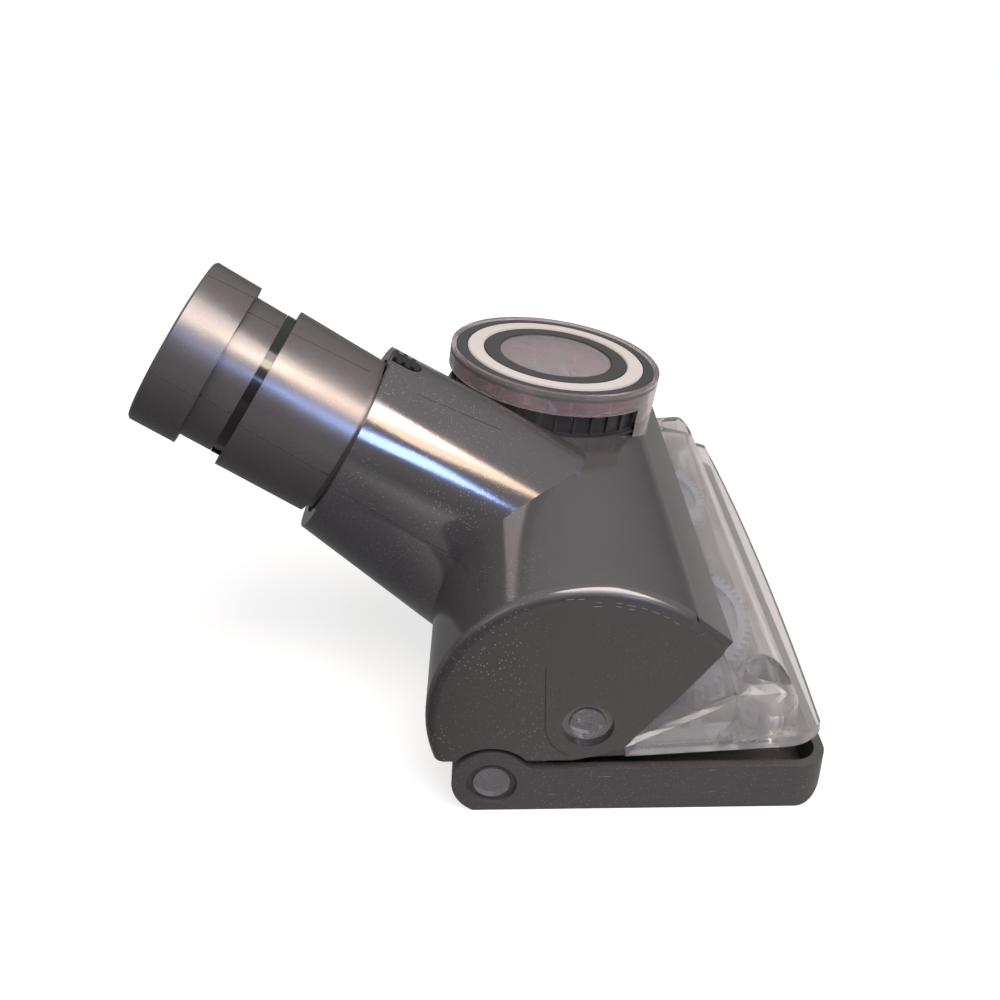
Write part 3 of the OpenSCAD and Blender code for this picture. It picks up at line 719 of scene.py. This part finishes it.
@dataclass
class DrumAndNeck(SubAssembly):
    """The drum with its neck, cuff, clip and catch, and the marks on their skin.

    Sizes are in millimetres. A line along a tube is its two ends, each as the
    distance from the tube's foot and the angle from its top.
    """

    looks: dict[str, Any] = field(
        default_factory=lambda: {
            "drum_shell": PEARL_ABS,
            "neck_cuff": CUFF_ABS,
            "retaining_clip": BLACK_ACETAL,
            "cuff_seal": RUBBER,
            "cuff_catch": BLACK_ACETAL,
        }
    )
    neck: TubeFrame = TubeFrame((20.1, -15.0, 33.7), 31.0)
    cuff: TubeFrame = TubeFrame((-35.753, -15.0, 66.56), 33.9)
    neck_r: float = 24.7
    cuff_r: float = 21.1
    waist_r: float = 18.8
    collar_r: float = 21.2
    line_r: float = 0.08
    panel_y: float = 75.0
    pivot: tuple[float, float] = (21.2, 24.5)
    pocket_r: float = 9.3
    pocket_turn: tuple[int, int, int] = (180, 246, 5)
    pocket_rise: tuple[float, ...] = (16.0, 12.0, 8.0, 4.0)
    pocket_line_r: float = 0.1
    drum_r: float = 35.5
    rub_r: float = 0.045
    rub_turn: tuple[float, float] = (1.1, 1.6)

    def build(self) -> None:
        """Builds every line and mark."""
        for side, where in ((-1, "near"), (1, "far")):
            self.build_parting_lines(side, where)
        for side, where in ((-1, "near"), (1, "far")):
            self.build_pocket_line(side, where)
        self.build_rub_dashes()

    def build_parting_lines(self, side: int, where: str) -> None:
        """Lays the mould's parting lines along one side of the neck and the cuff.

        Args:
            side: -1 or 1, the side's sign along Y.
            where: The side's name.
        """
        for tube_name, tube, runs in (
            (
                "neck",
                self.neck,
                (
                    ((64.2, 92.6), (33.0, 99.3), self.neck_r),
                    ((56.0, 24.0), (34.0, 17.9), self.neck_r),
                ),
            ),
            (
                "cuff",
                self.cuff,
                (
                    ((1.0, 91.3), (23.8, 90.2), self.cuff_r),
                    ((4.0, 14.1), (23.8, 20.5), self.cuff_r),
                    ((26.8, 89.7), (34.4, 88.5), self.waist_r),
                    ((26.8, 14.0), (34.4, 16.5), self.waist_r),
                    ((34.8, 87.8), (45.8, 87.8), self.collar_r),
                    ((34.8, 8.6), (45.8, 13.5), self.collar_r),
                ),
            ),
        ):
            lines = [
                tube.line((start[0], side * start[1]), (end[0], side * end[1]), radius)
                for start, end, radius in runs
            ]
            mesh = bead(f"{tube_name}_line", lines, self.line_r)
            # The lines' dark colour is painted shade along the seams.
            put(f"{tube_name}_parting_lines_{where}", mesh, SHADED_LINE_ABS, "drum")

    def on_panel(self, side: int, turn: float, radius: float) -> Vector:
        """Gives the point of an end panel at an angle and radius about the pivot."""
        a = math.radians(turn)
        return Vector(
            (
                self.pivot[0] + radius * math.cos(a),
                side * self.panel_y,
                self.pivot[1] + radius * math.sin(a),
            )
        )

    def build_pocket_line(self, side: int, where: str) -> None:
        """Draws the witness line of the arm pocket round one pivot.

        Args:
            side: -1 or 1, the side's sign along Y.
            where: The side's name.
        """
        arc = [self.on_panel(side, turn, self.pocket_r) for turn in range(*self.pocket_turn)]
        rise = [arc[0] + Vector((0.0, 0.0, height)) for height in self.pocket_rise]
        mesh = bead("pocket_line", [rise + arc], self.pocket_line_r)
        # The witness line is painted dark: painted shade in the pocket's groove.
        put(f"pocket_line_{where}", mesh, SHADED_GROOVE_ABS, "drum")

    def build_rub_dashes(self) -> None:
        """Scatters the short pale rub marks under the near panel's upper edge."""
        dashes = []
        for i, (turn, drop) in enumerate(
            (
                (98, 1.9), (94, 2.1), (88, 3.0), (88.2, 4.0), (80.5, 2.8), (80.2, 3.7),
                (76, 3.0), (75.5, 3.8), (71, 2.9), (66.5, 3.0), (62, 3.1), (57.5, 3.3),
            )
        ):
            half = self.rub_turn[0] if i % 3 else self.rub_turn[1]
            dashes.append(
                [
                    self.on_panel(-1, turn + k * half, self.drum_r - drop)
                    for k in (-1, -0.3, 0.4, 1)
                ]
            )
        put("panel_rub_marks", bead("rub_mark", dashes, self.rub_r), RUB_MARK, "drum")


@dataclass
class TurbineTop(SubAssembly):
    """The clear bowl, its rings and the turbine."""

    looks: dict[str, Any] = field(
        default_factory=lambda: {
            "turbine_frame": DISC_ABS,
            "bearing_upper": BRONZE,
            "bearing_lower": BRONZE,
            "turbine_bowl": CLEAR_BOWL,
            "outer_bezel": RING_ABS,
            "trim_ring": WHITE_ABS,
            "inner_bezel": RING_ABS,
            "window_lens": CLEAR_LENS,
            "turbine_wheel": RED_ABS,
            "turbine_shaft": STEEL,
            "wheel_nut": STEEL,
        }
    )


@dataclass(frozen=True)
class Lamp:
    """A soft rectangular studio light."""

    name: str
    azimuth: float
    elevation: float
    distance: float
    width: float
    height: float
    power: float
    colour: str

    def build(self, target: Vector) -> None:
        """Places the light and aims it at the target point."""
        a, e = math.radians(self.azimuth), math.radians(self.elevation)
        back = Vector(
            (math.sin(a) * math.cos(e), -math.cos(a) * math.cos(e), math.sin(e))
        )
        data = bpy.data.lights.new(self.name, "AREA")
        data.shape = "RECTANGLE"
        data.size, data.size_y = self.width, self.height
        data.energy = self.power
        data.color = linear(self.colour)[:3]
        obj = bpy.data.objects.new(self.name, data)
        obj.location = target + back * self.distance
        obj.rotation_mode = "QUATERNION"
        obj.rotation_quaternion = back.to_track_quat("Z", "Y")
        bpy.context.scene.collection.objects.link(obj)


@dataclass(frozen=True)
class Studio:
    """Floor, world, lamps and the camera at the photograph's view."""

    camera_place: tuple[float, float, float] = (2.73, -244.652, 174.232)
    pitch: float = 28.811
    roll: float = 0.755
    focal_px: float = 1015.894
    floor_half: float = 14.0
    floor_lift: float = 0.72
    floor_fade: tuple[float, float] = (0.25, 0.8)
    bounce_fade: tuple[float, float] = (-0.04, 0.01)
    fibre_mm: float = 40
    reflected: float = 0.25
    sky: tuple[float, float] = (0.06, 0.5)
    sky_top: float = 0.8
    aim: tuple[float, float, float] = (0.0, 0.0, 0.06)
    lamps: tuple[Lamp, ...] = (
        Lamp("overhead_softbox", 30, 66, 1.6, 1.3, 1.3, 30, "#fffaf6"),
        Lamp("warm_window", 49, 43, 1.5, 0.5, 0.42, 5.2, "#ffe6c6"),
        Lamp("cool_window", 27, 26, 1.5, 0.34, 0.22, 4.6, "#93b4ff"),
        Lamp("left_fill", -60, 35, 1.8, 1.0, 0.8, 1.2, "#ffffff"),
    )

    def build(self) -> None:
        """Builds the floor, the world, the lamps and the camera."""
        self.build_floor()
        self.build_world()
        for lamp in self.lamps:
            lamp.build(Vector(self.aim))
        self.build_camera()
        bpy.context.scene.view_settings.view_transform = "Standard"

    def build_camera(self) -> None:
        """Sets the camera to the solved place, pitch and roll."""
        pitch, roll = math.radians(self.pitch), math.radians(self.roll)
        right = Vector((1.0, 0.0, 0.0))
        ahead = Vector((0.0, math.cos(pitch), -math.sin(pitch)))
        down = Vector((0.0, -math.sin(pitch), -math.cos(pitch)))
        across = right * math.cos(roll) + down * math.sin(roll)
        lower = right * -math.sin(roll) + down * math.cos(roll)
        data = bpy.data.cameras.new("photo_camera")
        data.sensor_width = 36.0
        data.lens = self.focal_px * data.sensor_width / IMAGE_SIDE
        data.clip_start, data.clip_end = 0.01, 20.0
        cam = bpy.data.objects.new("photo_camera", data)
        turn = Matrix((across, -lower, -ahead)).transposed()
        cam.matrix_world = Matrix.Translation(
            Vector(self.camera_place) * MM
        ) @ turn.to_4x4()
        bpy.context.scene.collection.objects.link(cam)
        bpy.context.scene.camera = cam

    def build_floor(self) -> None:
        """Lays the pale floor under the object."""
        mesh = bpy.data.meshes.new("floor")
        half = self.floor_half
        corners = [(-half, -half), (half, -half), (half, half), (-half, half)]
        mesh.from_pydata([(x, y, 0.0) for x, y in corners], [], [(0, 1, 2, 3)])
        floor = bpy.data.objects.new("floor", mesh)
        bpy.context.scene.collection.objects.link(floor)
        mesh.materials.append(self.floor_material())

    def floor_material(self) -> bpy.types.Material:
        """Makes the paper: it keeps the shadow and fades to plain white far away.

        Returns:
            The new Blender material.
        """
        mat = bpy.data.materials.new("pale_matte_paper")
        mat.use_nodes = True
        tree = mat.node_tree
        tree.nodes.clear()
        place = add_node(tree, "ShaderNodeTexCoord").outputs["Object"]
        rays = add_node(tree, "ShaderNodeLightPath")
        away = add_node(tree, "ShaderNodeVectorMath", links={0: place}, operation="LENGTH")
        far = add_node(
            tree,
            "ShaderNodeMapRange",
            {"From Min": self.floor_fade[0], "From Max": self.floor_fade[1]},
            {"Value": away.outputs["Value"]},
        ).outputs["Result"]
        fibre = add_node(
            tree, "ShaderNodeTexNoise", {"Scale": per_metre(self.fibre_mm)}, {"Vector": place}
        )
        bump = add_node(
            tree,
            "ShaderNodeBump",
            {"Strength": 0.1, "Distance": 0.05 * MM},
            {"Height": fibre.outputs["Fac"]},
        )
        diffuse = add_node(
            tree,
            "ShaderNodeBsdfDiffuse",
            links={
                "Color": self.floor_colour(tree, place, far, rays),
                "Normal": bump.outputs["Normal"],
            },
        )
        glow = add_node(
            tree,
            "ShaderNodeEmission",
            {"Color": linear("#ffffff")},
            {"Strength": self.floor_glow(tree, far, rays)},
        )
        both = add_node(
            tree, "ShaderNodeAddShader", links={0: diffuse.outputs[0], 1: glow.outputs[0]}
        )
        add_node(tree, "ShaderNodeOutputMaterial", links={"Surface": both.outputs[0]})
        return mat

    def floor_colour(
        self,
        tree: bpy.types.NodeTree,
        place: bpy.types.NodeSocket,
        far: bpy.types.NodeSocket,
        rays: bpy.types.Node,
    ) -> bpy.types.NodeSocket:
        """Gives the paper's own colour, dark under the neck for bounced light only.

        Args:
            tree: The material's tree.
            place: Object coordinates.
            far: 0 at the object and 1 far away.
            rays: The light path node.

        Returns:
            The colour.
        """
        paper = add_node(
            tree,
            "ShaderNodeMix",
            {"A": linear("#a09d9a"), "B": linear("#000000")},
            {"Factor": far},
            data_type="RGBA",
        )
        axes = add_node(tree, "ShaderNodeSeparateXYZ", links={"Vector": place})
        ahead = add_node(
            tree,
            "ShaderNodeMapRange",
            {"From Min": self.bounce_fade[0], "From Max": self.bounce_fade[1]},
            {"Value": axes.outputs["X"]},
        )
        pale = add_node(
            tree,
            "ShaderNodeMath",
            links={0: ahead.outputs["Result"], 1: rays.outputs["Is Camera Ray"]},
            operation="MAXIMUM",
        )
        shown = add_node(
            tree,
            "ShaderNodeMix",
            {"A": linear("#151414")},
            {"B": paper.outputs["Result"], "Factor": pale.outputs[0]},
            data_type="RGBA",
        )
        return shown.outputs["Result"]

    def floor_glow(
        self,
        tree: bpy.types.NodeTree,
        far: bpy.types.NodeSocket,
        rays: bpy.types.Node,
    ) -> bpy.types.NodeSocket:
        """Gives the white that the camera, gloss and clear parts see on the floor.

        Args:
            tree: The material's tree.
            far: 0 at the object and 1 far away.
            rays: The light path node.

        Returns:
            The strength of the white.
        """
        level = add_node(
            tree,
            "ShaderNodeMapRange",
            {"To Min": self.floor_lift, "To Max": 1.0},
            {"Value": far},
        )
        through = add_node(
            tree,
            "ShaderNodeMath",
            links={0: rays.outputs["Is Glossy Ray"], 1: rays.outputs["Is Transmission Ray"]},
            operation="MAXIMUM",
        )
        dimmed = add_node(
            tree,
            "ShaderNodeMath",
            {1: self.reflected},
            {0: through.outputs[0]},
            operation="MULTIPLY",
        )
        seen = add_node(
            tree,
            "ShaderNodeMath",
            links={0: rays.outputs["Is Camera Ray"], 1: dimmed.outputs[0]},
            operation="MAXIMUM",
        )
        lift = add_node(
            tree,
            "ShaderNodeMath",
            links={0: level.outputs["Result"], 1: seen.outputs[0]},
            operation="MULTIPLY",
        )
        return lift.outputs[0]

    def build_world(self) -> None:
        """Sets a neutral sky, brighter overhead, with white behind the object."""
        world = bpy.data.worlds.new("studio")
        world.use_nodes = True
        tree = world.node_tree
        tree.nodes.clear()
        rays = add_node(tree, "ShaderNodeLightPath")
        way = add_node(tree, "ShaderNodeTexCoord").outputs["Generated"]
        axes = add_node(tree, "ShaderNodeSeparateXYZ", links={"Vector": way})
        sky = add_node(
            tree,
            "ShaderNodeMapRange",
            {"From Max": self.sky_top, "To Min": self.sky[0], "To Max": self.sky[1]},
            {"Value": axes.outputs["Z"]},
        )
        level = add_node(
            tree,
            "ShaderNodeMath",
            links={0: rays.outputs["Is Camera Ray"], 1: sky.outputs["Result"]},
            operation="MAXIMUM",
        )
        back = add_node(
            tree,
            "ShaderNodeBackground",
            {"Color": linear("#ffffff")},
            {"Strength": level.outputs[0]},
        )
        add_node(tree, "ShaderNodeOutputWorld", links={"Surface": back.outputs[0]})
        bpy.context.scene.world = world


def main() -> None:
    """Builds the classes in order and reports each piece."""
    logging.basicConfig(level=logging.INFO, format="%(name)s: %(message)s")
    parts = (SoleAndCase(), GearTrain(), DrumAndNeck(), TurbineTop())
    for part in parts:
        part.dress()
    for part in parts:
        part.build()
    Studio().build()


if __name__ == "__main__":
    main()
